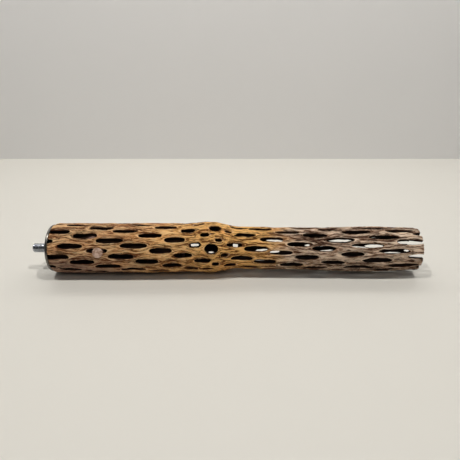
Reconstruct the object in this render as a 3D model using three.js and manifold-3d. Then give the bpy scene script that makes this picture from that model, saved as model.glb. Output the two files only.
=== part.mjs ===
// Perch made from a length of cholla cactus skeleton: the woody net of a cactus stem, with a wooden
// plug pinned into its hollow core by a cross dowel, and a hanger bolt and washer at one end.
// Millimetres, +Z up, the stem along X, with the middle of the underside at the origin.

import * as THREE from 'three';
import { mergeVertices } from 'three/addons/utils/BufferGeometryUtils.js';
import Module from 'manifold-3d';

const wasm = await Module();
wasm.setup();

// Stations are distances along the stem from the washer's outer face. A turn is an angle round the
// stem in degrees, from the side that faces forwards and up, growing forwards and down.
const frontTilt = 28;            // how far above level turn 0 looks
const fitGap = 0.3;              // clearance between pieces that touch

// Stem
const woodStart = 2.3;
const woodEnd = 324.3;
const stemRadius = 22.25;        // before the node
const farStemRadius = 19;        // past the node
const farSwell = 1.3;            // how much the far part thickens again
const nodeStation = 138;         // where side branches grew
const nodeSwell = 0.7;
const axisHeight = 21.95;
const wallThickness = 5.2;
const farWallThickness = 4.8;
const endRounding = 2.4;         // the washer end is sanded round

// Spiral of holes: hole k sits a little further along and one divergence further round than hole k-1,
// which sets the holes in 7 spirals one way and 11 the other way.
const firstSpiral = 7;
const secondSpiral = 11;
const divergence = 99.273;
const firstHole = -58;
const lastHole = 158;
const holeZeroStation = 77.4;
const holeZeroTurn = -4.2;
const rise = 1.87;               // along the stem for each hole
const riseGrowth = 0.0008;       // for each mm along the stem
const nodeCrowding = 0.94;
const swayTurn = 4.6;
const farTurn = -1.2;
const lowTurn = 2.5;             // holes low on the front side sit further round
const swayAlong = 3;
const swayPeriod = 92;
const backAlong = -4.5;          // the holes on the far side sit a little off the rule
const backEndAlong = -3.5;
const backTurn = -8.2;
const backNodeTurn = 5;
const backEndTurn = -9;

// Holes
const holeLength = 20.5;
const farHoleExtraLength = 5.5;
const nodeHoleShortening = 15;
const holeWidth = 4.2;
const lowHoleExtraWidth = 0.1;   // share of the width
const farHoleExtraWidth = 0.5;
const innerHoleScale = 0.86;     // a hole narrows towards the core
const bluntness = 0.62;          // of a hole's outline: 1 is an oval, less is nearer to a box
const farBluntness = 0.95;
const rimDrop = 0.5;             // a strand is crowned, so a hole's rim lies lower
const pointsPerSide = 2;         // of the four sides of a hole's cell

// Holes that differ from the rule, by number: round scars of side branches and odd ones beside them.
const oddHoles = new Map([
  [-40, { length: 12 }],
  [-36, { width: 4.9 }],
  [-33, { alongShift: -2.2 }],
  [-29, { width: 4.3 }],
  [-25, { width: 4.8 }],
  [-22, { width: 5.4 }],
  [-18, { length: 17.2, alongShift: 1.5, turnShift: -1.5 }],
  [-11, { length: 22.8 }],
  [0, { length: 22.8, width: 4.3, alongShift: -1.2 }],
  [22, { length: 15.2, width: 4.4, alongShift: -1.1 }],
  [26, { length: 11.6, alongShift: -1.4 }],
  [31, { length: 7.6, width: 3, alongShift: -1.4 }],
  [33, { length: 14.6, width: 3.9, alongShift: 1, turnShift: -1.5 }],
  [37, { length: 13.5, width: 4.4, turnShift: -15, blunt: 0.85 }],
  [38, { length: 5.2, width: 3, alongShift: 5.5, turnShift: 2 }],
  [40, { length: 11.8, width: 9.2, alongShift: 1.1, turnShift: -4.7, blunt: 1 }],
  [43, { length: 10.2, width: 7.6, alongShift: 1.4, turnShift: 7, blunt: 1 }],
  [44, { turnShift: -5.5 }],
  [47, { length: 5.6, width: 2.8 }],
  [49, { alongShift: 4.5, turnShift: 6 }],
  [51, { length: 5.6, width: 3 }],
  [54, { length: 5.8, width: 2, turnShift: -1 }],
  [55, { turnShift: -6 }],
  [56, { alongShift: 3, turnShift: 2 }],
  [60, { length: 4.6, alongShift: 2.9 }],
  [64, { alongShift: 5, turnShift: 3 }],
  [65, { length: 19.5, width: 3.6, alongShift: -2.6, turnShift: -3 }],
  [72, { alongShift: -1.6, turnShift: -4 }],
  [84, { length: 19.8, alongShift: 1.4 }],
  [87, { alongShift: 0.8, turnShift: 2.5 }],
  [89, { turnShift: 2.5 }],
  [94, { width: 4.6, alongShift: 1.2 }],
  [96, { alongShift: 3, turnShift: -6 }],
  [107, { turnShift: 2.5 }],
  [109, { length: 19.5, width: 4.4, alongShift: 1.8 }],
  [112, { turnShift: -1.5 }],
  [118, { turnShift: 2 }],
  [125, { alongShift: 4, turnShift: 4 }],
  [131, { alongShift: 1, turnShift: 4 }],
  [138, { alongShift: 1.8, turnShift: 2.5 }],
]);

// Hardware
const studRadius = 4;            // M8
const studProjection = 18;
const studChamfer = 1;
const screwRadius = 3.3;         // the end of the stud inside the plug is a wood screw
const screwStart = 3;
const screwTaper = 33;
const screwTip = 39.5;
const washerRadius = 20.8;
const washerThickness = 2;
const washerEdge = 0.4;
const washerRing = 8;            // an edge loop in the washer's faces

// Wooden plug and dowel
const plugRadius = 15.4;
const plugEnd = 116;
const dowelRadius = 4.5;
const dowelStation = 45.5;
const dowelTurn = 11.4;
const dowelReach = 22.6;         // from the axis, so that both ends stand a little proud

const roundSegments = 40;
const smallSegments = 32;

const radians = THREE.MathUtils.degToRad;
const step = (from, to, s) => THREE.MathUtils.smoothstep(s, from, to);
const hump = (centre, width, s) => Math.exp(-(((s - centre) / width) ** 2));
const nearHalfTurn = (degrees) => degrees - 360 * Math.round(degrees / 360);

// Pseudo-random number from -1 to 1 for hole k
function scatter(k, stream) {
  const wave = Math.sin(12.9898 * k + 78.233 * stream) * 43758.5453;
  return 2 * (wave - Math.floor(wave)) - 1;
}

const radiusAt = (s) => stemRadius - (stemRadius - farStemRadius) * step(143, 166, s)
  + nodeSwell * hump(nodeStation, 9, s) - 0.5 * hump(120, 14, s) + farSwell * hump(280, 32, s);
const wallAt = (s) => THREE.MathUtils.lerp(wallThickness, farWallThickness, step(140, 170, s));
const axisAt = (s) => new THREE.Vector3(
  s,
  1.3 * hump(145, 35, s),
  axisHeight + 0.3 * hump(nodeStation, 14, s) - step(150, 260, s),
);

const outward = (turn) => new THREE.Vector3(
  0,
  -Math.cos(radians(frontTilt - turn)),
  Math.sin(radians(frontTilt - turn)),
);
const onStem = (s, turn, radius) => axisAt(s).addScaledVector(outward(turn), radius);

// Stations of the holes, worked out from hole 0 both ways
const riseAt = (s) => rise + riseGrowth * s - nodeCrowding * hump(142.8, 26, s);
const spread = firstSpiral + secondSpiral;
const stations = new Map([[0, holeZeroStation]]);
for (let k = 1; k <= lastHole + spread; k += 1) {
  stations.set(k, stations.get(k - 1) + riseAt(stations.get(k - 1)));
}
for (let k = -1; k >= firstHole - spread; k -= 1) {
  stations.set(k, stations.get(k + 1) - riseAt(stations.get(k + 1)));
}

function holeAt(k) {
  const station = stations.get(k);
  const far = 1 / (1 + Math.exp((125 - station) / 10));
  const odd = oddHoles.get(k) ?? {};
  const ruleTurn = holeZeroTurn + divergence * k
    + far * (farTurn + swayTurn * Math.cos(2 * Math.PI * (k - 133.7) / swayPeriod));
  const low = step(0.3, 0.9, Math.sin(radians(ruleTurn))) * step(-0.1, 0.5, Math.cos(radians(ruleTurn)));
  const back = step(-0.1, 0.95, -Math.cos(radians(ruleTurn))) * step(105, 122, station);
  const turn = ruleTurn + low * lowTurn + back * (backTurn + backNodeTurn * hump(188, 24, station)
    + backEndTurn * step(268, 302, station));
  const s = station + (1 - far) * swayAlong * Math.sin(radians(ruleTurn))
    + back * (backAlong + backEndAlong * step(265, 300, station)) + (odd.alongShift ?? 0);
  const nearNode = hump(150, s < 150 ? 36 : 14, s);
  const ruleLength = holeLength + farHoleExtraLength * step(240, 275, s) - nodeHoleShortening * nearNode;
  const ruleWidth = holeWidth + farHoleExtraWidth * step(240, 275, s) - 0.5 * nearNode;
  return {
    s,
    turn: turn + (odd.turnShift ?? 0),
    length: odd.length ?? ruleLength * (1 + 0.08 * scatter(k, 1)),
    width: odd.width ?? ruleWidth * (1 + lowHoleExtraWidth * low) * (1 + 0.2 * scatter(k, 2)),
    blunt: odd.blunt ?? bluntness + (farBluntness - bluntness) * step(185, 245, s),
  };
}

// Corner j of the net lies midway between four neighbouring holes
function cornerAt(j) {
  const home = holeAt(j);
  const offsets = [firstSpiral, secondSpiral, spread].map((m) => {
    const hole = holeAt(j + m);
    return { s: hole.s - home.s, turn: nearHalfTurn(hole.turn - home.turn) };
  });
  const sum = offsets.reduce((a, b) => ({ s: a.s + b.s, turn: a.turn + b.turn }));
  return { s: home.s + sum.s / 4, turn: home.turn + sum.turn / 4 };
}

// The woody net: one ring of faces round each hole, outside, inside and through the wall
function netGeometry() {
  const positions = [];
  const triangles = [];
  const known = new Map();
  const sharedEdges = new Map();

  const vertex = (key, makePoint) => {
    if (!known.has(key)) {
      known.set(key, positions.length / 3);
      positions.push(...makePoint().toArray());
    }
    return known.get(key);
  };
  const quad = (a, b, c, d) => triangles.push(a, b, c, a, c, d);

  for (let k = firstHole; k <= lastHole; k += 1) {
    const hole = holeAt(k);
    const corners = [k, k - firstSpiral, k - spread, k - secondSpiral];
    const ring = [];
    corners.forEach((j, side) => {
      const next = corners[(side + 1) % corners.length];
      const from = cornerAt(j);
      const to = cornerAt(next);
      const across = nearHalfTurn(to.turn - from.turn);
      const home = hole.turn + nearHalfTurn(from.turn - hole.turn);
      for (let i = 0; i < pointsPerSide; i += 1) {
        const t = i / pointsPerSide;
        const count = j < next ? i : pointsPerSide - i;
        const key = i === 0 ? `${j}` : `${Math.min(j, next)}/${Math.max(j, next)}/${count}`;
        ring.push({ key, s: from.s + t * (to.s - from.s), turn: home + t * across });
      }
    });

    const rows = ring.map((edge, i) => {
      const angle = 2 * Math.PI * i / ring.length;
      const outline = (value, power) => Math.sign(value) * Math.abs(value) ** power;
      const alongRim = 0.5 * hole.length * outline(Math.cos(angle), 0.25 + 0.65 * hole.blunt);
      const acrossRim = 0.5 * hole.width * outline(Math.sin(angle), hole.blunt);
      const rim = (scale, radius) => {
        const s = hole.s + scale * alongRim;
        const turn = hole.turn + scale * THREE.MathUtils.radToDeg(acrossRim / radiusAt(hole.s));
        return onStem(s, turn, radius(s));
      };
      const outer = (s) => radiusAt(s);
      const inner = (s) => radiusAt(s) - wallAt(s);
      return {
        outerEdge: vertex(`out ${edge.key}`, () => onStem(edge.s, edge.turn, outer(edge.s))),
        outerRim: vertex(`out rim ${k} ${i}`, () => rim(1, (s) => outer(s) - rimDrop)),
        innerRim: vertex(`in rim ${k} ${i}`, () => rim(innerHoleScale, inner)),
        innerEdge: vertex(`in ${edge.key}`, () => onStem(edge.s, edge.turn, inner(edge.s))),
      };
    });
    rows.forEach((row, i) => {
      const next = rows[(i + 1) % rows.length];
      quad(row.outerEdge, row.outerRim, next.outerRim, next.outerEdge);
      quad(row.outerRim, row.innerRim, next.innerRim, next.outerRim);
      quad(row.innerRim, row.innerEdge, next.innerEdge, next.innerRim);
      const name = [row.outerEdge, next.outerEdge].sort((a, b) => a - b).join('-');
      if (sharedEdges.has(name)) sharedEdges.delete(name);
      else sharedEdges.set(name, [row, next]);
    });
  }
  // The two ragged ends of the net, closed across the wall
  for (const [row, next] of sharedEdges.values()) {
    quad(row.outerEdge, next.outerEdge, next.innerEdge, row.innerEdge);
  }

  const geometry = new THREE.BufferGeometry();
  geometry.setAttribute('position', new THREE.Float32BufferAttribute(positions, 3));
  geometry.setIndex(triangles);
  return geometry;
}

function toSolid(geometry) {
  const bare = geometry.clone();
  bare.deleteAttribute('normal');
  bare.deleteAttribute('uv');
  const merged = mergeVertices(bare);
  return new wasm.Manifold(new wasm.Mesh({
    numProp: 3,
    vertProperties: new Float32Array(merged.attributes.position.array),
    triVerts: new Uint32Array(merged.index.array),
  }));
}

function toGeometry(solid) {
  const mesh = solid.getMesh();
  const geometry = new THREE.BufferGeometry();
  geometry.setAttribute('position', new THREE.BufferAttribute(new Float32Array(mesh.vertProperties), 3));
  geometry.setIndex(new THREE.BufferAttribute(new Uint32Array(mesh.triVerts), 1));
  const flat = geometry.toNonIndexed();
  flat.computeVertexNormals();
  return flat;
}

// A body turned about the stem's axis at the washer: its profile is a list of [station, radius]
function turned(profile, segments) {
  const points = profile.map(([s, radius]) => new THREE.Vector2(radius, s));
  const geometry = new THREE.LatheGeometry(points, segments);
  geometry.rotateZ(-Math.PI / 2);
  const centre = axisAt(0);
  return geometry.translate(0, centre.y, centre.z);
}

const rod = (start, end, radius, segments) => turned(
  [[start, 0], [start, radius], [end, radius], [end, 0]],
  segments,
);

// A round bar across the stem at the dowel's place
function crossBar(radius, halfLength, segments) {
  const bar = new THREE.CylinderGeometry(radius, radius, 2 * halfLength, segments);
  bar.applyQuaternion(new THREE.Quaternion().setFromUnitVectors(
    new THREE.Vector3(0, 1, 0),
    outward(dowelTurn),
  ));
  const centre = axisAt(dowelStation);
  return bar.translate(centre.x, centre.y, centre.z);
}

function skeletonGeometry() {
  const big = 2 * stemRadius;
  const arc = [0, 30, 60, 90].map((angle) => [
    woodStart + endRounding * (1 - Math.sin(radians(angle))),
    stemRadius - endRounding * (1 - Math.cos(radians(angle))),
  ]);
  const cutter = turned([[woodStart, 0], ...arc.reverse(), [woodStart + endRounding, big],
    [woodEnd, big], [woodEnd, 0]], roundSegments);
  const aboveFloor = new THREE.BoxGeometry(2 * woodEnd, 2 * big, 2 * big).translate(0, 0, big);
  const dowelHole = crossBar(dowelRadius + fitGap, 2 * stemRadius, smallSegments);
  return toGeometry(toSolid(netGeometry())
    .intersect(toSolid(cutter))
    .intersect(toSolid(aboveFloor))
    .subtract(toSolid(dowelHole)));
}

function plugGeometry() {
  const plug = rod(woodStart, plugEnd, plugRadius, roundSegments);
  const studHole = turned([
    [0, 0],
    [0, studRadius + fitGap],
    [screwStart + fitGap, studRadius + fitGap],
    [screwStart + fitGap, screwRadius + fitGap],
    [screwTaper + fitGap, screwRadius + fitGap],
    [screwTip + fitGap, 0],
  ], smallSegments);
  const dowelHole = crossBar(dowelRadius + fitGap, 2 * stemRadius, smallSegments);
  return toGeometry(toSolid(plug).subtract(toSolid(studHole)).subtract(toSolid(dowelHole)));
}

const studGeometry = () => turned([
  [-studProjection, 0],
  [-studProjection, studRadius - studChamfer],
  [-studProjection + studChamfer, studRadius],
  [screwStart, studRadius],
  [screwStart, screwRadius],
  [screwTaper, screwRadius],
  [screwTip, 0],
], smallSegments);

const washerGeometry = () => turned([
  [0, studRadius + fitGap],
  [0, washerRing],
  [0, washerRadius - washerEdge],
  [washerEdge, washerRadius],
  [washerThickness - washerEdge, washerRadius],
  [washerThickness, washerRadius - washerEdge],
  [washerThickness, washerRing],
  [washerThickness, studRadius + fitGap],
  [0, studRadius + fitGap],
], roundSegments);

const paint = (color, roughness, metalness) => new THREE.MeshStandardMaterial({
  color, roughness, metalness,
});
const agedWood = paint(0xb98a5a, 0.8, 0);
const plugWood = paint(0x8a6a48, 0.85, 0);
const paleWood = paint(0xd8b79a, 0.75, 0);
const zincSteel = paint(0xb9bcc0, 0.3, 1);
const dullSteel = paint(0x9a9a92, 0.45, 1);

const perch = new THREE.Group();
const contents = new THREE.Group();
perch.add(contents);

function addPiece(name, geometry, material) {
  const mesh = new THREE.Mesh(geometry, material);
  mesh.name = name;
  contents.add(mesh);
}

addPiece('cholla_skeleton', skeletonGeometry(), agedWood);
addPiece('core_plug', plugGeometry(), plugWood);
addPiece('cross_dowel', crossBar(dowelRadius, dowelReach, smallSegments), paleWood);
addPiece('end_washer', washerGeometry(), dullSteel);
addPiece('mounting_stud', studGeometry(), zincSteel);

// The middle of the underside goes to the origin
const bounds = new THREE.Box3().setFromObject(contents);
const middle = bounds.getCenter(new THREE.Vector3());
contents.position.set(-middle.x, -middle.y, -bounds.min.z);

export default perch;
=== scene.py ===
import math

import bmesh
import bpy
from mathutils import Matrix, Vector


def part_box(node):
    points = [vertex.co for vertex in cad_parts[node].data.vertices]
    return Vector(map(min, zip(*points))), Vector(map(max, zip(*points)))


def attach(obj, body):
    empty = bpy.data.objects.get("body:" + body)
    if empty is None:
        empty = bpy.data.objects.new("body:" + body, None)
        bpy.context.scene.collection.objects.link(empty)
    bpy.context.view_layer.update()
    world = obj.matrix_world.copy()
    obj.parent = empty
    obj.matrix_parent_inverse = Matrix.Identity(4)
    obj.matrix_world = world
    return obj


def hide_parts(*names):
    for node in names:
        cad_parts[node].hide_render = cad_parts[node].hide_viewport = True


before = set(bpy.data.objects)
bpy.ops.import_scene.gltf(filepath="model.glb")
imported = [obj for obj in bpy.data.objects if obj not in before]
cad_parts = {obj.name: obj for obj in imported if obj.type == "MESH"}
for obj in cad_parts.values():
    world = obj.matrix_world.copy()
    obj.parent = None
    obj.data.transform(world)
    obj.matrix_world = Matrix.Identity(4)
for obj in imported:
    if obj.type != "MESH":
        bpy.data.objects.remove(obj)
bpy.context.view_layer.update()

print("stage: frame loaded")

# Stations run along the stem from the washer's outer face, in metres. A turn is an angle round the
# stem in radians, from the side that faces forwards and up, growing forwards and down.
washerLow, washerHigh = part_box("end_washer")
woodLow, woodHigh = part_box("cholla_skeleton")
stemOrigin = Vector((washerLow.x, (washerLow.y + washerHigh.y) / 2, (washerLow.z + washerHigh.z) / 2))

stem = {
    "start": woodLow.x - stemOrigin.x,
    "end": woodHigh.x - stemOrigin.x,
    "radius": 0.02225,
    "farRadius": 0.019,
    "taperStart": 0.143,
    "taperEnd": 0.166,
    "farSwell": 0.0013,
    "farSwellStation": 0.28,
    "farSwellReach": 0.032,
    "nodeStation": 0.138,      # where side branches grew
    "nodeSwell": 0.0007,
    "nodeReach": 0.009,
    "nodeLift": 0.0003,
    "nodeLiftReach": 0.014,
    "waist": 0.0005,           # a slight waist before the node
    "waistStation": 0.12,
    "waistReach": 0.014,
    "bend": 0.0013,
    "bendStation": 0.145,
    "bendReach": 0.035,
    "sag": 0.001,
    "sagStart": 0.15,
    "sagEnd": 0.26,
    "wall": 0.0052,
    "farWall": 0.0048,
    "wallChangeStart": 0.14,
    "wallChangeEnd": 0.17,
    "frontTilt": math.radians(28),
    "endRounding": 0.0024,
    "farEndRounding": 0.0012,
}

spiral = {
    "first": 7,
    "second": 11,
    "divergence": math.radians(99.273),
    "firstHole": -58,
    "lastHole": 158,
    "zeroStation": 0.0774,
    "zeroTurn": math.radians(-4.2),
    "rise": 0.00187,
    "riseGrowth": 0.0008,
    "crowding": 0.00094,
    "crowdingStation": 0.1428,
    "crowdingReach": 0.026,
    "farStation": 0.125,       # the far part's rule fades in here
    "farFade": 0.01,
    "swayTurn": math.radians(4.6),
    "farTurn": math.radians(-1.2),
    "lowTurn": math.radians(2.5),   # holes low on the front side sit further round
    "swayAlong": 0.003,
    "swayPeriod": 92,
    "swayPeak": 133.7,
    "backAlong": -0.0045,      # the holes on the far side sit a little off the rule
    "backEndAlong": -0.0035,
    "backTurn": math.radians(-8.2),
    "backNodeTurn": math.radians(5),
    "backEndTurn": math.radians(-9),
}

holes = {
    "length": 0.0205,
    "farExtraLength": 0.0055,
    "nodeShortening": 0.015,
    "width": 0.0041,
    "farExtraWidth": 0.0005,
    "lowExtraWidth": 0.1,      # share of the width
    "bluntness": 0.62,         # of a hole's outline: 1 is an oval, less is nearer to a box
    "farBluntness": 0.95,
    "cellSegments": 36,
    # across half a strand, from its middle to the hole and back inside: share of the way, share of the wall
    "section": [(0, 0), (0.25, 0.002), (0.48, 0.008), (0.66, 0.02), (0.79, 0.038), (0.88, 0.062),
                (0.95, 0.1), (0.985, 0.15), (1, 0.23), (1, 0.42), (0.98, 0.64), (0.93, 0.84),
                (0.75, 0.97), (0.4, 1), (0, 1)],
}

oddHoles = {  # round scars of side branches, and odd holes beside them, with turns in degrees
    -40: {"length": 0.012},
    -36: {"width": 0.0049},
    -33: {"alongShift": -0.0022},
    -29: {"width": 0.0043},
    -25: {"width": 0.0048},
    -22: {"width": 0.0054},
    -18: {"length": 0.0172, "alongShift": 0.0015, "turnShift": -1.5},
    -11: {"length": 0.0228},
    0: {"length": 0.0228, "width": 0.0043, "alongShift": -0.0012},
    22: {"length": 0.0152, "width": 0.0044, "alongShift": -0.0011},
    26: {"length": 0.0116, "alongShift": -0.0014},
    31: {"length": 0.0076, "width": 0.003, "alongShift": -0.0014},
    33: {"length": 0.0146, "width": 0.0039, "alongShift": 0.001, "turnShift": -1.5},
    37: {"length": 0.0135, "width": 0.0044, "turnShift": -15, "blunt": 0.85},
    38: {"length": 0.0052, "width": 0.003, "alongShift": 0.0055, "turnShift": 2},
    40: {"length": 0.0118, "width": 0.0092, "alongShift": 0.0011, "turnShift": -4.7, "blunt": 1,
         "collar": 0.0011},
    43: {"length": 0.0102, "width": 0.0076, "alongShift": 0.0014, "turnShift": 7, "blunt": 1,
         "collar": 0.0008},
    44: {"turnShift": -5.5},
    47: {"length": 0.0056, "width": 0.0028},
    49: {"alongShift": 0.0045, "turnShift": 6},
    51: {"length": 0.0056, "width": 0.003},
    54: {"length": 0.0058, "width": 0.002, "turnShift": -1},
    55: {"turnShift": -6},
    56: {"alongShift": 0.003, "turnShift": 2},
    60: {"length": 0.0046, "alongShift": 0.0029},
    64: {"alongShift": 0.005, "turnShift": 3},
    65: {"length": 0.0195, "width": 0.0036, "alongShift": -0.0026, "turnShift": -3},
    72: {"alongShift": -0.0016, "turnShift": -4},
    84: {"length": 0.0198, "alongShift": 0.0014},
    87: {"alongShift": 0.0008, "turnShift": 2.5},
    89: {"turnShift": 2.5},
    94: {"width": 0.0046, "alongShift": 0.0012},
    96: {"alongShift": 0.003, "turnShift": -6},
    107: {"turnShift": 2.5},
    109: {"length": 0.0195, "width": 0.0044, "alongShift": 0.0018},
    112: {"turnShift": -1.5},
    118: {"turnShift": 1},
    125: {"alongShift": 0.004, "turnShift": 4},
    129: {"alongShift": 0.0012},
    131: {"alongShift": 0.001, "turnShift": 4},
    138: {"alongShift": 0.0018, "turnShift": 2.5},
}


# A node socket that takes part in sums, so that one formula serves numbers and node trees alike
class Field:
    def __init__(self, tree, socket):
        self.tree = tree
        self.socket = socket

    def apply(self, operation, *others, first=None):
        node = self.tree.nodes.new("ShaderNodeMath")
        node.operation = operation
        values = (self, *others) if first is None else (first, self, *others)
        for slot, value in zip(node.inputs, values):
            feed(self.tree, slot, value)
        return Field(self.tree, node.outputs[0])

    def __add__(self, other):
        return self.apply("ADD", other)

    def __radd__(self, other):
        return self.apply("ADD", other)

    def __sub__(self, other):
        return self.apply("SUBTRACT", other)

    def __rsub__(self, other):
        return self.apply("SUBTRACT", first=other)

    def __mul__(self, other):
        return self.apply("MULTIPLY", other)

    def __rmul__(self, other):
        return self.apply("MULTIPLY", other)

    def __truediv__(self, other):
        return self.apply("DIVIDE", other)

    def __pow__(self, other):
        return self.apply("POWER", other)

    def __neg__(self):
        return self.apply("MULTIPLY", -1)


def feed(tree, slot, value):
    if isinstance(value, Field):
        tree.links.new(value.socket, slot)
    elif isinstance(value, bpy.types.NodeSocket):
        tree.links.new(value, slot)
    else:
        slot.default_value = value


def exponential(x):
    return x.apply("EXPONENT") if isinstance(x, Field) else math.exp(x)


def hump(x, centre, width):
    offset = (x - centre) / width
    return exponential(-(offset * offset))


def step(x, low, high):
    if not isinstance(x, Field):
        share = min(max((x - low) / (high - low), 0), 1)
        return share * share * (3 - 2 * share)
    node = x.tree.nodes.new("ShaderNodeMapRange")
    node.interpolation_type = "SMOOTHSTEP"
    for name, value in (("Value", x), ("From Min", low), ("From Max", high)):
        feed(x.tree, node.inputs[name], value)
    return Field(x.tree, node.outputs["Result"])


def radiusAt(s):
    return (stem["radius"]
            - (stem["radius"] - stem["farRadius"]) * step(s, stem["taperStart"], stem["taperEnd"])
            + stem["nodeSwell"] * hump(s, stem["nodeStation"], stem["nodeReach"])
            - stem["waist"] * hump(s, stem["waistStation"], stem["waistReach"])
            + stem["farSwell"] * hump(s, stem["farSwellStation"], stem["farSwellReach"]))


def wallAt(s):
    change = step(s, stem["wallChangeStart"], stem["wallChangeEnd"])
    return stem["wall"] + (stem["farWall"] - stem["wall"]) * change


def sidewaysAt(s):
    return stemOrigin.y + stem["bend"] * hump(s, stem["bendStation"], stem["bendReach"])


def heightAt(s):
    return (stemOrigin.z + stem["nodeLift"] * hump(s, stem["nodeStation"], stem["nodeLiftReach"])
            - stem["sag"] * step(s, stem["sagStart"], stem["sagEnd"]))


def riseAt(s):
    crowding = spiral["crowding"] * hump(s, spiral["crowdingStation"], spiral["crowdingReach"])
    return spiral["rise"] + spiral["riseGrowth"] * s - crowding


def scatter(k, stream):  # pseudo-random number from -1 to 1
    wave = math.sin(12.9898 * k + 78.233 * stream) * 43758.5453
    return 2 * (wave - math.floor(wave)) - 1


def holeStations():
    spread = spiral["first"] + spiral["second"]
    stations = {0: spiral["zeroStation"]}
    for k in range(1, spiral["lastHole"] + spread + 1):
        stations[k] = stations[k - 1] + riseAt(stations[k - 1])
    for k in range(-1, spiral["firstHole"] - spread - 1, -1):
        stations[k] = stations[k + 1] - riseAt(stations[k + 1])
    return stations


def holeAt(k, station):
    far = 1 / (1 + math.exp((spiral["farStation"] - station) / spiral["farFade"]))
    odd = oddHoles.get(k, {})
    sway = math.cos(2 * math.pi * (k - spiral["swayPeak"]) / spiral["swayPeriod"])
    ruleTurn = (spiral["zeroTurn"] + spiral["divergence"] * k
                + far * (spiral["farTurn"] + spiral["swayTurn"] * sway))
    low = step(math.sin(ruleTurn), 0.3, 0.9) * step(math.cos(ruleTurn), -0.1, 0.5)
    back = step(-math.cos(ruleTurn), -0.1, 0.95) * step(station, 0.105, 0.122)
    turn = (ruleTurn + low * spiral["lowTurn"]
            + back * (spiral["backTurn"] + spiral["backNodeTurn"] * hump(station, 0.188, 0.024)
                      + spiral["backEndTurn"] * step(station, 0.268, 0.302)))
    s = (station + (1 - far) * spiral["swayAlong"] * math.sin(ruleTurn)
         + back * (spiral["backAlong"] + spiral["backEndAlong"] * step(station, 0.265, 0.3)))
    nearNode = hump(s, 0.15, 0.036 if s < 0.15 else 0.014)
    length = (holes["length"] + holes["farExtraLength"] * step(s, 0.24, 0.275)
              - holes["nodeShortening"] * nearNode) * (1 + 0.08 * scatter(k, 1))
    width = (holes["width"] + holes["farExtraWidth"] * step(s, 0.24, 0.275)
             - 0.0005 * nearNode) * (1 + holes["lowExtraWidth"] * low) * (1 + 0.2 * scatter(k, 2))
    return {
        "along": s + odd.get("alongShift", 0),
        "turn": turn + math.radians(odd.get("turnShift", 0)),
        "halfLength": odd.get("length", length) / 2,
        "halfWidth": odd.get("width", width) / 2,
        "blunt": odd.get("blunt", holes["bluntness"] + (holes["farBluntness"] - holes["bluntness"])
                         * step(s, 0.185, 0.245)),
        "collar": odd.get("collar", 0),
    }


def meshObject(name, vertices, faces=()):
    mesh = bpy.data.meshes.new(name)
    mesh.from_pydata([tuple(v) for v in vertices], [], [tuple(f) for f in faces])
    thing = bpy.data.objects.new(name, mesh)
    bpy.context.scene.collection.objects.link(thing)
    return thing


def holePoints():
    stations = holeStations()
    rows = [holeAt(k, stations[k]) for k in sorted(stations)]
    points = meshObject("holePoints", [(0, 0, 0)] * len(rows))
    for name in rows[0]:
        values = points.data.attributes.new(name, "FLOAT", "POINT")
        values.data.foreach_set("value", [row[name] for row in rows])
    return points


# One cell of the net as a flat strip: x goes round the hole, y from strand to hole, z into the wall
def cellStrip():
    count = holes["cellSegments"]
    section = holes["section"]
    vertices = [(i / count, t, d) for i in range(count + 1) for t, d in section]
    rows = len(section)
    faces = [(i * rows + j, i * rows + j + 1, (i + 1) * rows + j + 1, (i + 1) * rows + j)
             for i in range(count) for j in range(rows - 1)]
    return meshObject("cellStrip", vertices, faces)


def newTree(name, sockets):
    tree = bpy.data.node_groups.new(name, "GeometryNodeTree")
    tree.interface.new_socket("Geometry", in_out="INPUT", socket_type="NodeSocketGeometry")
    tree.interface.new_socket("Geometry", in_out="OUTPUT", socket_type="NodeSocketGeometry")
    for label, kind, value in sockets:
        socket = tree.interface.new_socket(label, in_out="INPUT", socket_type="NodeSocket" + kind)
        if value is not None:
            socket.default_value = value
    return tree, tree.nodes.new("NodeGroupInput"), tree.nodes.new("NodeGroupOutput")


def addNode(tree, kind, inputs=(), **settings):
    node = tree.nodes.new(kind)
    for name, value in settings.items():
        setattr(node, name, value)
    for slot, value in dict(inputs).items():
        feed(tree, node.inputs[slot], value)
    return node


def namedField(tree, name, kind="FLOAT"):
    node = addNode(tree, "GeometryNodeInputNamedAttribute", {"Name": name}, data_type=kind)
    return Field(tree, node.outputs["Attribute"])


def storeField(tree, geometry, name, value, kind="FLOAT"):
    node = addNode(tree, "GeometryNodeStoreNamedAttribute",
                   {"Geometry": geometry, "Name": name, "Value": value}, data_type=kind, domain="POINT")
    return node.outputs["Geometry"]


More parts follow.
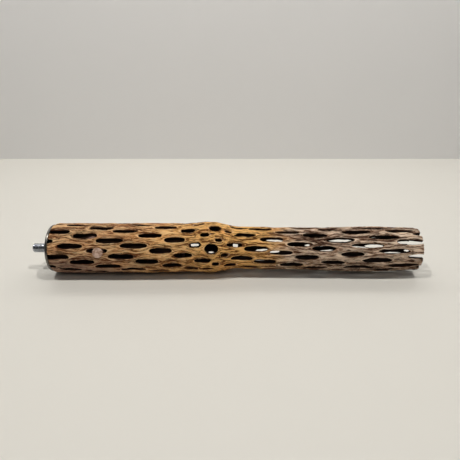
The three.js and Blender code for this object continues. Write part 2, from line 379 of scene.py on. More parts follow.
def chollaNetTree():
    tree, source, target = newTree("chollaNet", [
        ("Strip", "Object", None),
        ("Wood", "Material", None),
        ("Rim Wander", "Float", 0.3),
        ("Relief", "Float", 0.0015),
        ("Fine Relief", "Float", 0.0004),
        ("Join Distance", "Float", 0.00001),
    ])
    setting = {name: Field(tree, source.outputs[name])
               for name in ("Rim Wander", "Relief", "Fine Relief")}
    first, second = spiral["first"], spiral["second"]
    spread = first + second
    fullTurn = 2 * math.pi

    index = Field(tree, addNode(tree, "GeometryNodeInputIndex").outputs[0])
    along = namedField(tree, "along")
    turn = namedField(tree, "turn")

    def neighbour(value, offset):
        node = addNode(tree, "GeometryNodeFieldAtIndex", {"Value": value, "Index": index + offset})
        return Field(tree, node.outputs[0])

    def nearHalfTurn(angle):
        return angle.apply("WRAP", math.pi, -math.pi)

    # a corner lies midway between four neighbouring holes
    cornerAlong = along
    cornerTurn = 0
    for offset in (first, second, spread):
        cornerAlong = cornerAlong + neighbour(along, offset)
        cornerTurn = cornerTurn + nearHalfTurn(neighbour(turn, offset) - turn)
    points = source.outputs["Geometry"]
    points = storeField(tree, points, "cornerAlong", cornerAlong / 4)
    points = storeField(tree, points, "cornerTurn", turn + cornerTurn / 4)
    points = storeField(tree, points, "hole", index)

    strip = addNode(tree, "GeometryNodeObjectInfo", {"Object": source.outputs["Strip"]})
    inRange = addNode(tree, "FunctionNodeBooleanMath", {
        0: index.apply("GREATER_THAN", spread - 0.5),
        1: index.apply("LESS_THAN", spread + spiral["lastHole"] - spiral["firstHole"] + 0.5),
    })
    cells = addNode(tree, "GeometryNodeInstanceOnPoints", {
        "Points": points, "Selection": inRange.outputs[0], "Instance": strip.outputs["Geometry"]})
    net = addNode(tree, "GeometryNodeRealizeInstances", {"Geometry": cells.outputs[0]}).outputs[0]

    hole = namedField(tree, "hole")

    def ofHole(name, offset=0):
        node = addNode(tree, "GeometryNodeSampleIndex", {
            "Geometry": points, "Value": namedField(tree, name), "Index": hole + offset})
        return Field(tree, node.outputs[0])

    place = addNode(tree, "ShaderNodeSeparateXYZ",
                    {0: addNode(tree, "GeometryNodeInputPosition").outputs[0]})
    round_, toRim, inwards = (Field(tree, place.outputs[i]) for i in range(3))

    # the cell's edge: straight between its four corners
    holeAlong, holeTurn = ofHole("along"), ofHole("turn")
    side = round_ * 4
    edgeAlong = edgeTurn = 0
    for number, offset in enumerate((0, -first, -spread, -second)):
        weight = (1 - (side - number).apply("ABSOLUTE")).apply("MAXIMUM", 0)
        if number == 0:
            weight = weight + (1 - (side - 4).apply("ABSOLUTE")).apply("MAXIMUM", 0)
        edgeAlong = edgeAlong + weight * (ofHole("cornerAlong", offset) - holeAlong)
        edgeTurn = edgeTurn + weight * nearHalfTurn(ofHole("cornerTurn", offset) - holeTurn)

    # the hole's rim: a long oval with blunt ends
    angle = round_ * fullTurn
    cosine, sine = angle.apply("COSINE"), angle.apply("SINE")
    blunt = ofHole("blunt")
    bluntCosine = cosine.apply("SIGN") * cosine.apply("ABSOLUTE") ** (0.25 + 0.65 * blunt)
    bluntSine = sine.apply("SIGN") * sine.apply("ABSOLUTE") ** blunt
    rimAlong = ofHole("halfLength") * bluntCosine
    rimNoise = addNode(tree, "ShaderNodeTexNoise", {
        "Vector": addNode(tree, "ShaderNodeCombineXYZ", {0: cosine * 2, 1: sine, 2: inwards}).outputs[0],
        "W": hole * 3.7, "Scale": 1.6, "Detail": 3.0, "Roughness": 0.6}, noise_dimensions="4D")
    wander = 1 + setting["Rim Wander"] * 4 * (Field(tree, rimNoise.outputs["Fac"]) - 0.5)
    holeRadius = radiusAt(holeAlong)
    rimTurn = ofHole("halfWidth") * wander * bluntSine / holeRadius

    stay = 1 - toRim
    s = holeAlong + edgeAlong * stay + rimAlong * toRim
    theta = holeTurn + edgeTurn * stay + rimTurn * toRim
    restTheta = holeTurn + edgeTurn * stay
    wall = wallAt(s)
    radius = radiusAt(s) - inwards * wall

    # where the wood was before its holes opened: fibres are straight there, so here they flow round holes
    grainPlace = addNode(tree, "ShaderNodeCombineXYZ", {
        0: s, 1: radius * restTheta.apply("COSINE"), 2: radius * restTheta.apply("SINE")})

    def relief(stretch, scale, detail):
        stretched = addNode(tree, "ShaderNodeVectorMath", {
            0: grainPlace.outputs[0], 1: (stretch, 1, 1)}, operation="MULTIPLY")
        noise = addNode(tree, "ShaderNodeTexNoise", {
            "Vector": stretched.outputs[0], "Scale": scale, "Detail": detail, "Roughness": 0.6})
        return Field(tree, noise.outputs["Fac"]) - 0.5

    radius = (radius + setting["Relief"] * 2 * relief(0.25, 260.0, 2.0)
              + setting["Fine Relief"] * 2 * relief(0.15, 700.0, 2.0) - 0.0003
              + ofHole("collar") * step(toRim, 0.1, 0.75) * (1 - inwards))

    def roundedEnd(fromEnd, rounding):
        share = (fromEnd / rounding).apply("MAXIMUM", 0).apply("MINIMUM", 1)
        return radiusAt(s) - rounding * (1 - (1 - (1 - share) ** 2) ** 0.5)

    radius = radius.apply("MINIMUM", roundedEnd(s - stem["start"], stem["endRounding"]))
    radius = radius.apply("MINIMUM", roundedEnd(stem["end"] - s, stem["farEndRounding"]))

    level = theta * -1 + stem["frontTilt"]
    position = addNode(tree, "ShaderNodeCombineXYZ", {
        0: s + stemOrigin.x,
        1: sidewaysAt(s) - radius * level.apply("COSINE"),
        2: (heightAt(s) + radius * level.apply("SINE")).apply("MAXIMUM", 0),
    })
    net = storeField(tree, net, "rim", toRim)
    net = storeField(tree, net, "depth", inwards)
    net = storeField(tree, net, "grain", grainPlace.outputs[0], "FLOAT_VECTOR")
    net = addNode(tree, "GeometryNodeSetPosition", {
        "Geometry": net, "Position": position.outputs[0]}).outputs[0]
    net = addNode(tree, "GeometryNodeMergeByDistance", {
        "Geometry": net, "Distance": source.outputs["Join Distance"]}).outputs[0]
    net = addNode(tree, "GeometryNodeSetShadeSmooth", {"Geometry": net}).outputs[0]
    net = addNode(tree, "GeometryNodeRealizeInstances", {"Geometry": net}).outputs[0]
    net = addNode(tree, "GeometryNodeSetMaterial", {
        "Geometry": net, "Material": source.outputs["Wood"]}).outputs[0]
    tree.links.new(net, target.inputs[0])
    return tree


def applyTree(thing, tree, values, name):
    modifier = thing.modifiers.new("nodes", "NODES")
    modifier.node_group = tree
    sockets = {item.name: item.identifier for item in tree.interface.items_tree
               if item.in_out == "INPUT"}
    for label, value in values.items():
        modifier[sockets[label]] = value
    evaluated = thing.evaluated_get(bpy.context.evaluated_depsgraph_get())
    mesh = bpy.data.meshes.new_from_object(evaluated)
    mesh.name = name
    result = bpy.data.objects.new(name, mesh)
    bpy.context.scene.collection.objects.link(result)
    return result


dowelLow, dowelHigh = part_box("cross_dowel")
dowelTilt = stem["frontTilt"] - math.radians(11.4)
dowel = {
    "radius": (dowelHigh.x - dowelLow.x) / 2 * 0.96,
    "middle": (dowelLow + dowelHigh) / 2,
    "axis": Vector((0, -math.cos(dowelTilt), math.sin(dowelTilt))),
    "gap": 0.0005,
    "reach": 0.0226,           # from the axis to each end
    "boreReach": 0.03,
    "chamfer": 0.0004,
}


boreShade = 0.6    # share of the wall's depth that the bore's face is coloured as, so it takes the painted shade of the hole walls


def capCut(bm, station, direction):
    planePoint = (stemOrigin.x + station, 0, 0)
    cut = bmesh.ops.bisect_plane(bm, geom=bm.verts[:] + bm.edges[:] + bm.faces[:], dist=1e-7,
                                 plane_co=planePoint, plane_no=(direction, 0, 0), clear_outer=True)
    edges = [item for item in cut["geom_cut"] if isinstance(item, bmesh.types.BMEdge)]
    bmesh.ops.triangle_fill(bm, edges=edges, use_beauty=True, use_dissolve=False)


def rodMesh(name, start, direction, length, radius, count=48):
    turnTo = Vector(direction).to_track_quat("Z", "Y").to_matrix().to_4x4()
    bm = bmesh.new()
    bmesh.ops.create_cone(bm, cap_ends=True, segments=count, radius1=radius, radius2=radius, depth=length,
                          matrix=Matrix.Translation(Vector(start)) @ turnTo
                          @ Matrix.Translation((0, 0, length / 2)))
    mesh = bpy.data.meshes.new(name)
    bm.to_mesh(mesh)
    bm.free()
    thing = bpy.data.objects.new(name, mesh)
    bpy.context.scene.collection.objects.link(thing)
    return thing


def bakeModifiers(thing):
    evaluated = thing.evaluated_get(bpy.context.evaluated_depsgraph_get())
    mesh = bpy.data.meshes.new_from_object(evaluated)
    thing.modifiers.clear()
    thing.data = mesh


def discard(*things):
    for thing in things:
        bpy.data.objects.remove(thing, do_unlink=True)


def makeNet(wood):
    strip = cellStrip()
    points = holePoints()
    net = applyTree(points, chollaNetTree(), {"Strip": strip, "Wood": wood}, "chollaNet")
    discard(strip, points)
    bm = bmesh.new()
    bm.from_mesh(net.data)
    capCut(bm, stem["start"], -1)
    capCut(bm, stem["end"], 1)
    bmesh.ops.recalc_face_normals(bm, faces=bm.faces)
    bm.to_mesh(net.data)
    bm.free()
    bore = rodMesh("dowelBore", dowel["middle"] - dowel["axis"] * dowel["boreReach"], dowel["axis"],
                   2 * dowel["boreReach"], dowel["radius"] + dowel["gap"])
    grain = bore.data.attributes.new("grain", "FLOAT_VECTOR", "POINT")
    depth = bore.data.attributes.new("depth", "FLOAT", "POINT")
    for vertex in bore.data.vertices:
        grain.data[vertex.index].vector = vertex.co - stemOrigin
        depth.data[vertex.index].value = boreShade
    cut = net.modifiers.new("dowelBore", "BOOLEAN")
    cut.operation = "DIFFERENCE"
    cut.solver = "MANIFOLD"
    cut.object = bore
    bakeModifiers(net)
    discard(bore)
    return net


def lathe(name, profile, centre, axis, count=96):  # profile: (along the axis, radius), outline of a solid
    turnTo = Vector(axis).to_track_quat("Z", "Y").to_matrix().to_4x4()
    place = Matrix.Translation(Vector(centre)) @ turnTo
    vertices = []
    faces = []
    rows = len(profile)
    for i in range(count):
        angle = 2 * math.pi * i / count
        for along, radius in profile:
            vertices.append(place @ Vector((radius * math.cos(angle), radius * math.sin(angle), along)))
    for i in range(count):
        follow = (i + 1) % count
        for j in range(rows - 1):
            faces.append((i * rows + j, follow * rows + j, follow * rows + j + 1, i * rows + j + 1))
    thing = meshObject(name, vertices, faces)
    bm = bmesh.new()
    bm.from_mesh(thing.data)
    bmesh.ops.remove_doubles(bm, verts=bm.verts, dist=1e-7)
    bmesh.ops.recalc_face_normals(bm, faces=bm.faces)
    for face in bm.faces:
        face.smooth = True
    bm.to_mesh(thing.data)
    bm.free()
    return thing


def arc(alongCentre, radiusCentre, radius, fromAngle, toAngle, count=6):
    points = []
    for i in range(count + 1):
        angle = math.radians(fromAngle + (toAngle - fromAngle) * i / count)
        points.append((alongCentre + radius * math.cos(angle), radiusCentre + radius * math.sin(angle)))
    return points


def makeDowel(wood):
    half, chamfer, radius = dowel["reach"], dowel["chamfer"], dowel["radius"]
    face = [(0, 0.0), (0.00003, 0.3), (0.00002, 0.62), (0.00006, 0.85)]
    profile = [(-half + dip, radius * share) for dip, share in face]
    profile += arc(-half + chamfer, radius - chamfer, chamfer, 180, 90, 5)
    profile += [(half * share, radius) for share in (-0.8, -0.5, -0.2, 0.1, 0.4, 0.7)]
    profile += arc(half - chamfer, radius - chamfer, chamfer, 90, 0, 5)
    profile += [(half - dip, radius * share) for dip, share in reversed(face)]
    pin = lathe("dowelPin", profile, dowel["middle"], dowel["axis"], 64)
    pin.data.materials.append(wood)
    return pin


washer = {
    "radius": 0.0208,
    "thickness": 0.002,
    "edge": 0.0007,
    "backEdge": 0.0002,
    "bore": 0.0042,
    "boreEdge": 0.0003,
}


def makeWasher(steel):
    radius, thickness, edge = washer["radius"], washer["thickness"], washer["edge"]
    bore, boreEdge = washer["bore"], washer["boreEdge"]
    profile = [(boreEdge * 2, bore)]
    profile += arc(boreEdge, bore + boreEdge, boreEdge, 270, 180, 4)
    profile += [(0, bore + (radius - bore) * share) for share in (0.25, 0.5, 0.75)]
    profile += arc(edge, radius - edge, edge, 180, 90, 7)
    backEdge = washer["backEdge"]
    profile += arc(thickness - backEdge, radius - backEdge, backEdge, 90, 0, 3)
    profile += [(thickness, bore + (radius - bore) * share) for share in (0.75, 0.5, 0.25)]
    profile += arc(thickness - boreEdge, bore + boreEdge, boreEdge, 360, 270, 4)
    profile += [(boreEdge * 2, bore)]
    disc = lathe("washerDisc", profile, stemOrigin, (1, 0, 0), 128)
    disc.data.materials.append(steel)
    return disc


bolt = {
    "machineStart": -0.018,
    "machineEnd": 0.0022,
    "machineRadius": 0.004,
    "machinePitch": 0.00125,
    "machineDepth": 0.0005,
    "screwStart": 0.0035,
    "screwEnd": 0.0395,
    "screwRadius": 0.0033,
    "screwPitch": 0.003,
    "screwDepth": 0.0009,
    "chamfer": 0.0009,
    "around": 40,
    "along": 300,
}


def screwTree():
    names = ["machineStart", "machineEnd", "machineRadius", "machinePitch", "machineDepth",
             "screwStart", "screwEnd", "screwRadius", "screwPitch", "screwDepth", "chamfer"]
    tree, source, target = newTree(
        "hangerBoltThread", [(name, "Float", bolt[name]) for name in names] + [("Steel", "Material", None)])
    size = {name: Field(tree, source.outputs[name]) for name in names}
    place = addNode(tree, "ShaderNodeSeparateXYZ",
                    {0: addNode(tree, "GeometryNodeInputPosition").outputs[0]})
    along, turn, out = (Field(tree, place.outputs[i]) for i in range(3))
    s = size["machineStart"] + along * (size["screwEnd"] - size["machineStart"])

    def ridge(pitch):  # 0 in the groove, 1 on the crest
        phase = (s / pitch - turn).apply("FRACT")
        return ((phase - 0.5).apply("ABSOLUTE") * 4.6 - 0.4).apply("MAXIMUM", 0).apply("MINIMUM", 1)

    machine = size["machineRadius"] - size["machineDepth"] * (1 - ridge(size["machinePitch"]))
    limit = size["machineRadius"] - size["chamfer"] + (s - size["machineStart"]) * 0.9
    machine = machine.apply("MINIMUM", limit)
    taper = 1 - step(s, size["screwEnd"] - 0.0075, size["screwEnd"] + 0.001)
    core = (size["screwRadius"] - size["screwDepth"]) * taper
    wood = core + size["screwDepth"] * ridge(size["screwPitch"]) ** 2 * taper
    share = step(s, size["machineEnd"], size["screwStart"])
    radius = (machine + (wood - machine) * share) * out
    angle = turn * (2 * math.pi)
    position = addNode(tree, "ShaderNodeCombineXYZ", {
        0: s + stemOrigin.x,
        1: stemOrigin.y + radius * angle.apply("COSINE"),
        2: stemOrigin.z + radius * angle.apply("SINE"),
    })
    moved = addNode(tree, "GeometryNodeSetPosition", {
        "Geometry": source.outputs["Geometry"], "Position": position.outputs[0]}).outputs[0]
    joined = addNode(tree, "GeometryNodeMergeByDistance", {
        "Geometry": moved, "Distance": 0.000002}).outputs[0]
    smooth = addNode(tree, "GeometryNodeSetShadeSmooth", {"Geometry": joined}).outputs[0]
    real = addNode(tree, "GeometryNodeRealizeInstances", {"Geometry": smooth}).outputs[0]
    steel = addNode(tree, "GeometryNodeSetMaterial", {
        "Geometry": real, "Material": source.outputs["Steel"]}).outputs[0]
    tree.links.new(steel, target.inputs[0])
    return tree


def makeBolt(steel):
    around, along = bolt["around"], bolt["along"]
    rows = [(0, 0), (0, 0.5)] + [(i / along, 1) for i in range(along + 1)] + [(1, 0)]
    vertices = [(s, i / around, out) for i in range(around + 1) for s, out in rows]
    count = len(rows)
    faces = [(i * count + j, i * count + j + 1, (i + 1) * count + j + 1, (i + 1) * count + j)
             for i in range(around) for j in range(count - 1)]
    template = meshObject("boltTemplate", vertices, faces)
    threaded = applyTree(template, screwTree(), {"Steel": steel}, "hangerBolt")
    discard(template)
    bm = bmesh.new()
    bm.from_mesh(threaded.data)
    bmesh.ops.dissolve_degenerate(bm, edges=bm.edges, dist=1e-7)
    bmesh.ops.recalc_face_normals(bm, faces=bm.faces)
    bm.to_mesh(threaded.data)
    bm.free()
    return threaded


plug = {
    "radius": 0.0154,
    "start": 0.0023,
    "end": 0.116,
    "edge": 0.0008,
    "bore": 0.0034,
    "boreEnd": 0.0405,
    # a tuft of old pith on the plug fills one side of a hole
    "tuft": {"along": 0.039, "turn": math.radians(-32), "height": 0.004, "length": 0.0052, "width": 0.0026},
}


def makePlug(wood):
    radius, edge = plug["radius"], plug["edge"]
    start, end, bore = plug["start"], plug["end"], plug["bore"]
    profile = [(start, bore), (start, radius * 0.6)]
    profile += arc(start + edge, radius - edge, edge, 180, 90, 4)
    profile += [(start + (end - start) * i / 90, radius) for i in range(2, 89)]
    profile += arc(end - edge, radius - edge, edge, 90, 0, 4)
    profile += [(end, radius * 0.6), (end, 0.0)]
    profile += [(plug["boreEnd"], 0.0), (plug["boreEnd"] - 0.003, bore), (start, bore)]
    block = lathe("plugBlock", profile, stemOrigin, (1, 0, 0), 120)
    tuft = plug["tuft"]
    pith = block.data.attributes.new("pith", "FLOAT", "POINT")
    level = stem["frontTilt"] - tuft["turn"]
    out = Vector((0, -math.cos(level), math.sin(level)))
    for vertex in block.data.vertices:
        spoke = vertex.co - stemOrigin
        along = spoke.x - tuft["along"]
        spoke.x = 0
        if spoke.length > 0.9 * radius:
            aside = spoke.cross(out).length if spoke.dot(out) > 0 else radius
            rise = tuft["height"] * hump(along, 0, tuft["length"]) * hump(aside, 0, tuft["width"])
            wobble = 0.7 + 0.3 * math.sin(along * 1900) * math.sin(aside * 3100 + 1)
            vertex.co += spoke.normalized() * rise * wobble
            pith.data[vertex.index].value = rise / tuft["height"]
    block.data.materials.append(wood)
    return block


# sRGB 0 to 255 to the linear values that sockets take
def tint(red, green, blue):
    def linear(value):
        value = value / 255
        return value / 12.92 if value <= 0.04045 else ((value + 0.055) / 1.055) ** 2.4
    return (linear(red), linear(green), linear(blue), 1)


def newGroup(name, inputs, outputs):
    tree = bpy.data.node_groups.new(name, "ShaderNodeTree")
    for label, kind, value in inputs:
        socket = tree.interface.new_socket(label, in_out="INPUT", socket_type="NodeSocket" + kind)
        if value is not None:
            socket.default_value = value
    for label, kind in outputs:
        tree.interface.new_socket(label, in_out="OUTPUT", socket_type="NodeSocket" + kind)
    return tree, tree.nodes.new("NodeGroupInput"), tree.nodes.new("NodeGroupOutput")


def newMaterial(name, **constants):
    material = bpy.data.materials.new(name)
    material.use_nodes = True
    tree = material.node_tree
    shader = tree.nodes["Principled BSDF"]
    for label, value in constants.items():
        shader.inputs[label].default_value = value
    return material, tree, shader


def stretched(tree, vector, along):
    node = addNode(tree, "ShaderNodeVectorMath", {0: vector, 1: (along, 1, 1)}, operation="MULTIPLY")
    return node.outputs[0]


def noise(tree, vector, scale, detail=2.0, roughness=0.5, shift=0.0):
    node = addNode(tree, "ShaderNodeTexNoise", {
        "Vector": vector, "W": shift, "Scale": scale, "Detail": detail, "Roughness": roughness},
        noise_dimensions="4D")
    return Field(tree, node.outputs["Fac"])


def mixed(tree, share, low, high):
    node = addNode(tree, "ShaderNodeMix", {0: share, 6: low, 7: high}, data_type="RGBA")
    return node.outputs[2]


def bumped(tree, height, strength, distance):
    node = addNode(tree, "ShaderNodeBump", {"Height": height, "Strength": strength, "Distance": distance})
    return node.outputs["Normal"]


# Fibres that run along X of the vector given
def woodFibreGroup():
    tree, source, target = newGroup("woodFibre", [
        ("Vector", "Vector", None),
        ("Stretch", "Float", 0.06),
        ("Scale", "Float", 400.0),
        ("Wander", "Float", 0.0015),
        ("Seed", "Float", 0.0),
    ], [("Streak", "Float"), ("Fine", "Float"), ("Crack", "Float"), ("Height", "Float")])
    scale = Field(tree, source.outputs["Scale"])
    seed = Field(tree, source.outputs["Seed"])
    stretch = Field(tree, source.outputs["Stretch"])
    wander = Field(tree, source.outputs["Wander"])
    bend = addNode(tree, "ShaderNodeTexNoise", {
        "Vector": stretched(tree, source.outputs["Vector"], 0.45), "Scale": 130.0, "Detail": 2.0})
    bent = addNode(tree, "ShaderNodeVectorMath", {
        0: bend.outputs["Color"],
        1: addNode(tree, "ShaderNodeCombineXYZ", {0: 0.0, 1: wander, 2: wander}).outputs[0],
        2: source.outputs["Vector"]}, operation="MULTIPLY_ADD").outputs[0]
    along = addNode(tree, "ShaderNodeCombineXYZ", {0: stretch, 1: 1.0, 2: 1.0})
    vector = addNode(tree, "ShaderNodeVectorMath", {
        0: bent, 1: along.outputs[0]}, operation="MULTIPLY").outputs[0]
    streak = step(noise(tree, vector, scale, 4.0, 0.62, seed), 0.3, 0.7)
    fine = step(noise(tree, vector, scale * 2.7, 3.0, 0.6, seed + 3.1), 0.3, 0.7)
    furrow = noise(tree, vector, scale * 0.9, 2.0, 0.5, seed + 7.7)
    crack = 1 - step((furrow - 0.5).apply("ABSOLUTE"), 0.004, 0.03)
    patch = step(noise(tree, vector, scale * 0.3, 1.0, 0.5, seed + 9.2), 0.44, 0.58)
    pit = 1 - step(noise(tree, vector, scale * 1.3, 1.0, 0.4, seed + 12.4), 0.24, 0.33)
    crack = (crack * patch).apply("MAXIMUM", pit)
    height = streak * 0.55 + fine * 0.3 - crack * 0.55
    for name, value in (("Streak", streak), ("Fine", fine), ("Crack", crack), ("Height", height)):
        tree.links.new(value.socket, target.inputs[name])
    return tree


def useGroup(tree, group, inputs):
    node = addNode(tree, "ShaderNodeGroup", node_tree=group)
    for name, value in inputs.items():
        feed(tree, node.inputs[name], value)
    return node


chollaWood = {
    "goldenDark": tint(92, 44, 14),
    "golden": tint(208, 146, 83),
    "goldenLight": tint(250, 206, 146),
    "amber": tint(255, 197, 116),
    "orange": tint(222, 146, 76),
    "pale": tint(200, 164, 134),
    "mauve": tint(152, 122, 112),
    # painted highlight colour for the holes' rims
    "rimHighlightCream": tint(238, 208, 168),
    "greyDark": tint(64, 35, 20),
    "grey": tint(166, 129, 102),
    "greyLight": tint(238, 212, 186),
    # painted shade colours: edge for the holes' walls just inside the rims, inner for deeper in and for the
    # hollow
    "edge": tint(104, 58, 34),
    "inner": tint(34, 21, 13),
}


# Aged cactus wood: grain, weathering and tone patches, with painted shade in the holes' walls, cracks and
# hollow, and a painted highlight on the holes' rims
def agedWoodMaterial(fibre):
    material, tree, shader = newMaterial("agedCactusWood", Roughness=0.78)
    shader.inputs["Specular IOR Level"].default_value = 0.18
    grain = addNode(tree, "ShaderNodeAttribute", attribute_name="grain").outputs["Vector"]
    toRim = Field(tree, addNode(tree, "ShaderNodeAttribute", attribute_name="rim").outputs["Fac"])
    depth = Field(tree, addNode(tree, "ShaderNodeAttribute", attribute_name="depth").outputs["Fac"])
    fibres = useGroup(tree, fibre, {
        "Vector": grain, "Scale": 420.0, "Stretch": 0.13, "Wander": 0.004}).outputs
    streak, fine = Field(tree, fibres["Streak"]), Field(tree, fibres["Fine"])
    crack = Field(tree, fibres["Crack"])
    cloud = noise(tree, stretched(tree, grain, 0.35), 60.0, 2.0, 0.5, 2.0)
    tone = streak * 0.52 + fine * 0.48 + (cloud - 0.5) * 0.5
    light = step(tone, 0.45, 0.7)
    dark = 1 - step(tone, 0.28, 0.52)

    place = addNode(tree, "ShaderNodeTexCoord").outputs["Object"]
    axes = addNode(tree, "ShaderNodeSeparateXYZ", {0: place}).outputs
    x, y, z = (Field(tree, axes[i]) for i in range(3))
    patches = noise(tree, stretched(tree, place, 0.5), 40.0, 3.0, 0.6, 5.0)
    grey = step(x + (patches - 0.5) * 0.13, 0.03, 0.08)
    low = 1 - step(z + y * 0.4 + (patches - 0.5) * 0.02, 0.004, 0.022)
    mauve = low * (1 - step(x + (patches - 0.5) * 0.1, -0.115, -0.055))

    golden = mixed(tree, light, chollaWood["golden"], chollaWood["goldenLight"])
    golden = mixed(tree, hump(x + (patches - 0.5) * 0.1, 0.005, 0.045) * 0.85, golden, chollaWood["amber"])
    tawny = step(noise(tree, stretched(tree, grain, 0.4), 90.0, 2.0, 0.5, 14.0), 0.5, 0.64)
    golden = mixed(tree, tawny * 0.55, golden, chollaWood["orange"])
    paleShare = (1 - step(x + (patches - 0.5) * 0.16, -0.12, -0.02)) * 0.35
    golden = mixed(tree, paleShare, golden, chollaWood["pale"])
    golden = mixed(tree, mauve * 0.75, golden, chollaWood["mauve"])
    golden = mixed(tree, dark * 0.92, golden, chollaWood["goldenDark"])
    weathered = mixed(tree, light, chollaWood["grey"], chollaWood["greyLight"])
    weathered = mixed(tree, dark * 0.95, weathered, chollaWood["greyDark"])
    colour = mixed(tree, grey, golden, weathered)
    # painted highlight: patchy cream along the holes' rims, where their edges catch the light
    rimHighlightPatch = step(noise(tree, grain, 260.0, 2.0, 0.6, 8.0), 0.42, 0.6)
    rimHighlightMask = step(toRim, 0.66, 0.9) * (1 - step(depth, 0.03, 0.1)) * rimHighlightPatch
    colour = mixed(tree, rimHighlightMask * (0.7 - grey * 0.4), colour, chollaWood["rimHighlightCream"])
    # painted shade: the holes' walls darken to reddish brown just inside the rims, then to near black
    # deeper in and on the hollow's inside
    colour = mixed(tree, step(depth, 0.07, 0.14) * 0.8, colour, chollaWood["edge"])
    # painted shade in the fine cracks and pits of the grain
    colour = mixed(tree, crack * 0.75, colour, chollaWood["inner"])
    colour = mixed(tree, step(depth, 0.1, 0.25), colour, chollaWood["inner"])
    tree.links.new(colour, shader.inputs["Base Color"])
    tree.links.new((0.7 + fine * 0.15).socket, shader.inputs["Roughness"])
    tree.links.new(bumped(tree, fibres["Height"], 0.9, 0.0015), shader.inputs["Normal"])
    return material


# the plug's wood colours are darkened as painted shade for its place inside the hollow, on top of its own
# dark brown
plugWood = {
    "dark": tint(52, 33, 22),
    "light": tint(88, 60, 42),
    "pith": tint(168, 132, 116),
    "stretch": 0.08,
}

dowelWood = {
    "dark": tint(176, 140, 120),
    "light": tint(218, 190, 172),
    "stretch": 0.6,
}


def plainWoodMaterial(name, fibre, dark, light, stretchTo):
    material, tree, shader = newMaterial(name, Roughness=0.75)
    place = addNode(tree, "ShaderNodeTexCoord").outputs["Object"]
    fibres = useGroup(tree, fibre, {
        "Vector": place, "Scale": 500.0, "Stretch": stretchTo, "Wander": 0.001, "Seed": 4.0}).outputs
    tone = step(Field(tree, fibres["Streak"]) * 0.7 + Field(tree, fibres["Fine"]) * 0.3, 0.38, 0.62)
    colour = mixed(tree, tone, dark, light)
    tree.links.new(colour, shader.inputs["Base Color"])
    tree.links.new(bumped(tree, fibres["Height"], 0.5, 0.0005), shader.inputs["Normal"])
    return material, tree, shader


def plugMaterial(fibre):
    material, tree, shader = plainWoodMaterial("plugWood", fibre, plugWood["dark"], plugWood["light"],
                                               plugWood["stretch"])
    pithShare = addNode(tree, "ShaderNodeAttribute", attribute_name="pith").outputs["Fac"]
    wood = shader.inputs["Base Color"].links[0].from_socket
    tree.links.new(mixed(tree, pithShare, wood, plugWood["pith"]), shader.inputs["Base Color"])
    return material


def dowelMaterial(fibre):
    return plainWoodMaterial("dowelWood", fibre, dowelWood["dark"], dowelWood["light"],
                             dowelWood["stretch"])[0]


washerSteel = {"colour": tint(122, 119, 113), "roughness": 0.3, "scratch": 1500.0}
boltSteel = {"colour": tint(190, 195, 203), "roughness": 0.12, "scratch": 900.0}


def steelMaterial(name, finish):
    colour, roughness, scratch = finish["colour"], finish["roughness"], finish["scratch"]
    material, tree, shader = newMaterial(name, Metallic=1.0)
    place = addNode(tree, "ShaderNodeTexCoord").outputs["Object"]
    haze = noise(tree, place, 350.0, 3.0, 0.6)
    worn = mixed(tree, step(haze, 0.35, 0.7), colour, tuple(c * 0.72 for c in colour[:3]) + (1,))
    tree.links.new(worn, shader.inputs["Base Color"])
    tree.links.new((roughness + (haze - 0.5) * 0.25).socket, shader.inputs["Roughness"])
    tree.links.new(bumped(tree, noise(tree, place, scratch, 2.0), 0.15, 0.0002), shader.inputs["Normal"])
    return material


def build(piece, node):
    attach(piece, "root")
    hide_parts(node)


fibre = woodFibreGroup()
net = makeNet(agedWoodMaterial(fibre))
build(net, "cholla_skeleton")
print("stage: cactus net,", len(net.data.polygons), "faces")

build(makePlug(plugMaterial(fibre)), "core_plug")
build(makeDowel(dowelMaterial(fibre)), "cross_dowel")
build(makeWasher(steelMaterial("washerSteel", washerSteel)), "end_washer")
build(makeBolt(steelMaterial("boltSteel", boltSteel)), "mounting_stud")
print("stage: plug, dowel, washer and bolt")


view = {
    "place": (0.00485, -0.3378, 0.2013),
    "pitch": math.radians(25.6),
    "lens": 33.26,
}

room = {
    "floor": tint(223, 220, 212),
    "wall": tint(236, 235, 234),
    "wallDistance": 0.36,
    "wallHeight": 1,
    "size": 3.0,
    "air": tint(226, 226, 226),
    "airStrength": 0.1,
}

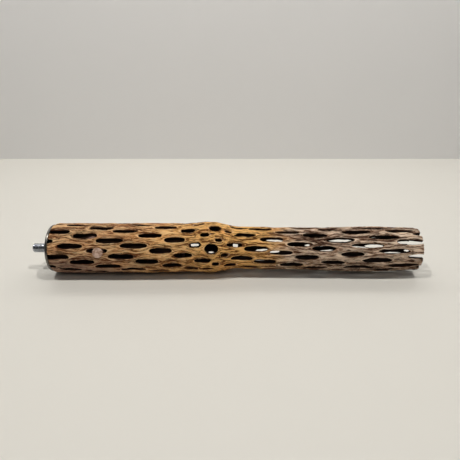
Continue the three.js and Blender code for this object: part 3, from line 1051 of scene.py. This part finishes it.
white = (1.0, 0.985, 0.96)
warm = (1.0, 0.98, 0.945)
lamps = {
    "ceilingLeft": {"place": (-0.38, -0.17, 1.2), "aim": (0, 0, 0), "size": (0.06, 0.06),
                    "power": 4.6, "colour": warm},
    "ceilingRight": {"place": (0.36, -0.17, 1.2), "aim": (0, 0, 0), "size": (0.06, 0.06),
                     "power": 4.6, "colour": warm},
    "ceilingStrip": {"place": (-0.1, -0.24, 1.2), "aim": (-0.1, -0.02, 0), "size": (2.0, 0.03),
                     "power": 0.9, "colour": white},
    "backGlow": {"place": (0, 0.32, 0.5), "aim": (0, 0.2, 0), "size": (1.4, 0.1),
                 "power": 0.8, "colour": (1.0, 0.99, 0.975)},
    "behindCamera": {"place": (0.1, -1.1, 1.5), "aim": (0, 0, 0), "size": (0.5, 0.5),
                     "power": 2.0, "colour": white},
}


def makeCamera():
    data = bpy.data.cameras.new("photoCamera")
    data.lens = view["lens"]
    data.sensor_width = 36
    data.clip_start = 0.01
    camera = bpy.data.objects.new("photoCamera", data)
    camera.location = view["place"]
    camera.rotation_euler = (math.pi / 2 - view["pitch"], 0, 0)
    bpy.context.scene.collection.objects.link(camera)
    bpy.context.scene.camera = camera


def makeStage():
    half, far, high = room["size"] / 2, room["wallDistance"], room["wallHeight"]
    floor = meshObject("floor", [(-half, -half, 0), (half, -half, 0), (half, half, 0), (-half, half, 0)],
                       [(0, 1, 2, 3)])
    wall = meshObject("wall", [(-half, far, 0), (half, far, 0), (half, far, high), (-half, far, high)],
                      [(3, 2, 1, 0)])
    for thing, colour in ((floor, room["floor"]), (wall, room["wall"])):
        material, tree, shader = newMaterial(thing.name + "Paint", Roughness=0.6)
        shader.inputs["Base Color"].default_value = colour
        thing.data.materials.append(material)


def makeLamp(name, lamp):
    data = bpy.data.lights.new(name, "AREA")
    data.shape = "ELLIPSE"
    data.size, data.size_y = lamp["size"]
    data.energy = lamp["power"]
    data.color = lamp["colour"]
    light = bpy.data.objects.new(name, data)
    light.location = lamp["place"]
    away = Vector(lamp["aim"]) - Vector(lamp["place"])
    light.rotation_euler = away.to_track_quat("-Z", "Y").to_euler()
    bpy.context.scene.collection.objects.link(light)


makeCamera()
makeStage()
for lampName, lamp in lamps.items():
    makeLamp(lampName, lamp)
world = bpy.data.worlds.new("softRoom")
world.use_nodes = True
world.node_tree.nodes["Background"].inputs["Color"].default_value = room["air"]
world.node_tree.nodes["Background"].inputs["Strength"].default_value = room["airStrength"]
bpy.context.scene.world = world
bpy.context.scene.view_settings.view_transform = "Standard"
print("stage: camera, lights and room")
